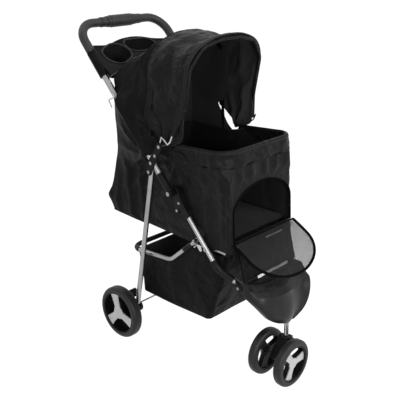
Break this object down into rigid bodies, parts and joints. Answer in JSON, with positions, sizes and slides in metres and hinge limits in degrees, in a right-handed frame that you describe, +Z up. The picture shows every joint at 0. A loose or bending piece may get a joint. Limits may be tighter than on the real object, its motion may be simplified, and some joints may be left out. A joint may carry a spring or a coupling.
{
  "type": "pet stroller",
  "caption": "Folding pet stroller with a cloth cabin, arched mesh door, hood, cup tray, under basket, two braked rear wheels and a twin-wheel front caster.",
  "frame": {"origin": "on the ground under the middle of the overall box", "axes": "+X to the right across the stroller, +Y to the rear where the handle is, +Z up; the front caster points to -Y"},
  "size_m": [0.4396, 0.7914, 1.006],
  "materials": {
    "tube": "satin anodised tube",
    "steel": "bright zinc plated steel",
    "dark_metal": "black powder coat",
    "black_plastic": "fine grained moulding",
    "gloss_black": "polished moulding",
    "silver_plastic": "silver lacquered moulding",
    "tray_grey": "fine grained moulding",
    "foam": "closed cell foam sleeve",
    "grip": "knurled soft grip",
    "tyre": "foamed tyre",
    "black_cloth": "woven polyester",
    "mesh_cloth": "open knitted mesh",
    "cushion_cloth": "quilted polyester"
  },
  "bodies": {
    "front_frame": {"front_leg_left": "tube", "front_leg_right": "tube", "fold_housing_left": "black_plastic", "fold_housing_right": "black_plastic", "frame_pins": "steel", "floor_frame": "tube", "hoop_brackets": "steel", "head_block": "black_plastic", "caster_stem": "steel", "front_shield": "gloss_black", "shield_clips": "black_plastic", "front_apron": "black_cloth", "cabin_shell": "black_cloth", "floor_cushion": "cushion_cloth", "basket": "black_cloth"},
    "handle": {"handle_tube": "tube", "grip_foam_left": "foam", "grip_foam_right": "foam", "centre_grip": "grip", "grip_collars": "grip", "cup_tray": "tray_grey", "tray_clamps": "tray_grey", "side_bracket_left": "dark_metal", "side_bracket_right": "dark_metal", "bracket_rivets": "steel", "storage_hook": "steel", "rear_bow": "dark_metal", "canopy_hood": "black_cloth", "canopy_back": "black_cloth"},
    "rear_legs": {"rear_leg_left": "tube", "rear_leg_right": "tube", "cross_rod": "steel", "wheel_bracket_left": "black_plastic", "wheel_bracket_right": "black_plastic", "rear_leg_pins": "steel"},
    "basket_hoop": {"basket_hoop": "tube"},
    "rim_bow": {"rim_bow": "dark_metal", "rim_band": "black_cloth"},
    "canopy_bow": {"canopy_front_bow": "dark_metal", "canopy_hinges": "steel"},
    "mesh_door": {"mesh_door": "mesh_cloth"},
    "lock_left": {"lock_sleeve_left": "black_plastic"},
    "lock_right": {"lock_sleeve_right": "black_plastic"},
    "brake_left": {"brake_pedal_left": "black_plastic"},
    "brake_right": {"brake_pedal_right": "black_plastic"},
    "rear_wheel_left": {"rear_tyre_left": "tyre", "rear_rim_left": "black_plastic", "rear_cap_left": "silver_plastic"},
    "rear_wheel_right": {"rear_tyre_right": "tyre", "rear_rim_right": "black_plastic", "rear_cap_right": "silver_plastic"},
    "caster": {"caster_fork": "black_plastic", "front_axle": "steel"},
    "swivel_lock": {"swivel_lock": "black_plastic"},
    "front_wheel_left": {"front_tyre_left": "tyre", "front_rim_left": "black_plastic", "front_cap_left": "silver_plastic"},
    "front_wheel_right": {"front_tyre_right": "tyre", "front_rim_right": "black_plastic", "front_cap_right": "silver_plastic"}
  },
  "joints": [
    {"name": "handle_fold", "type": "hinge", "parent": "front_frame", "child": "handle", "pos_m": [0, -0.029, 0.548], "axis": [-1, 0, 0], "range_deg": [0, 120], "deforming": ["cabin_shell", "canopy_hood", "canopy_back", "basket", "rim_band"]},
    {"name": "rear_leg_fold", "type": "hinge", "parent": "handle", "child": "rear_legs", "pos_m": [0, 0.049, 0.597], "axis": [1, 0, 0], "range_deg": [0, 88.5]},
    {"name": "hoop_fold", "type": "hinge", "parent": "front_frame", "child": "basket_hoop", "pos_m": [0, -0.104, 0.411], "axis": [-1, 0, 0], "range_deg": [0, 71.5]},
    {"name": "rim_bow_fold", "type": "hinge", "parent": "handle", "child": "rim_bow", "pos_m": [0, 0.003, 0.682], "axis": [1, 0, 0], "range_deg": [0, 48]},
    {"name": "canopy_fold", "type": "hinge", "parent": "handle", "child": "canopy_bow", "pos_m": [0, 0.003, 0.682], "axis": [-1, 0, 0], "range_deg": [0, 24], "deforming": ["canopy_hood"]},
    {"name": "door_fold", "type": "hinge", "parent": "front_frame", "child": "mesh_door", "pos_m": [0, -0.24, 0.436], "axis": [-1, 0, 0], "range_deg": [0, 127]},
    {"name": "lock_left_slide", "type": "slide", "parent": "handle", "child": "lock_left", "axis": [0, 0.679, 0.7342], "range_m": [0, 0.016]},
    {"name": "lock_right_slide", "type": "slide", "parent": "handle", "child": "lock_right", "axis": [0, 0.679, 0.7342], "range_m": [0, 0.016]},
    {"name": "brake_left_press", "type": "hinge", "parent": "rear_legs", "child": "brake_left", "pos_m": [-0.16, 0.16, 0.108], "axis": [-1, 0, 0], "range_deg": [0, 18]},
    {"name": "brake_right_press", "type": "hinge", "parent": "rear_legs", "child": "brake_right", "pos_m": [0.16, 0.16, 0.108], "axis": [-1, 0, 0], "range_deg": [0, 18]},
    {"name": "rear_wheel_left_spin", "type": "hinge", "parent": "rear_legs", "child": "rear_wheel_left", "pos_m": [-0.2023, 0.184, 0.0867], "axis": [1, 0, 0], "continuous": true},
    {"name": "rear_wheel_right_spin", "type": "hinge", "parent": "rear_legs", "child": "rear_wheel_right", "pos_m": [0.2023, 0.184, 0.0867], "axis": [1, 0, 0], "continuous": true},
    {"name": "caster_swivel", "type": "hinge", "parent": "front_frame", "child": "caster", "pos_m": [0, -0.335, 0.13], "axis": [0, 0, 1], "continuous": true},
    {"name": "swivel_lock_slide", "type": "slide", "parent": "caster", "child": "swivel_lock", "axis": [0, 0, 1], "range_m": [0, 0.006]},
    {"name": "front_wheel_left_spin", "type": "hinge", "parent": "caster", "child": "front_wheel_left", "pos_m": [-0.0343, -0.3816, 0.0729], "axis": [0, 1, 0], "continuous": true},
    {"name": "front_wheel_right_spin", "type": "hinge", "parent": "caster", "child": "front_wheel_right", "pos_m": [-0.0343, -0.2884, 0.0729], "axis": [0, 1, 0], "continuous": true}
  ],
  "couplings": [
    {"joint": "rear_leg_fold", "follows": "handle_fold", "ratio": 0.7331},
    {"joint": "hoop_fold", "follows": "handle_fold", "ratio": 0.5918},
    {"joint": "rim_bow_fold", "follows": "handle_fold", "ratio": 0.392}
  ]
}
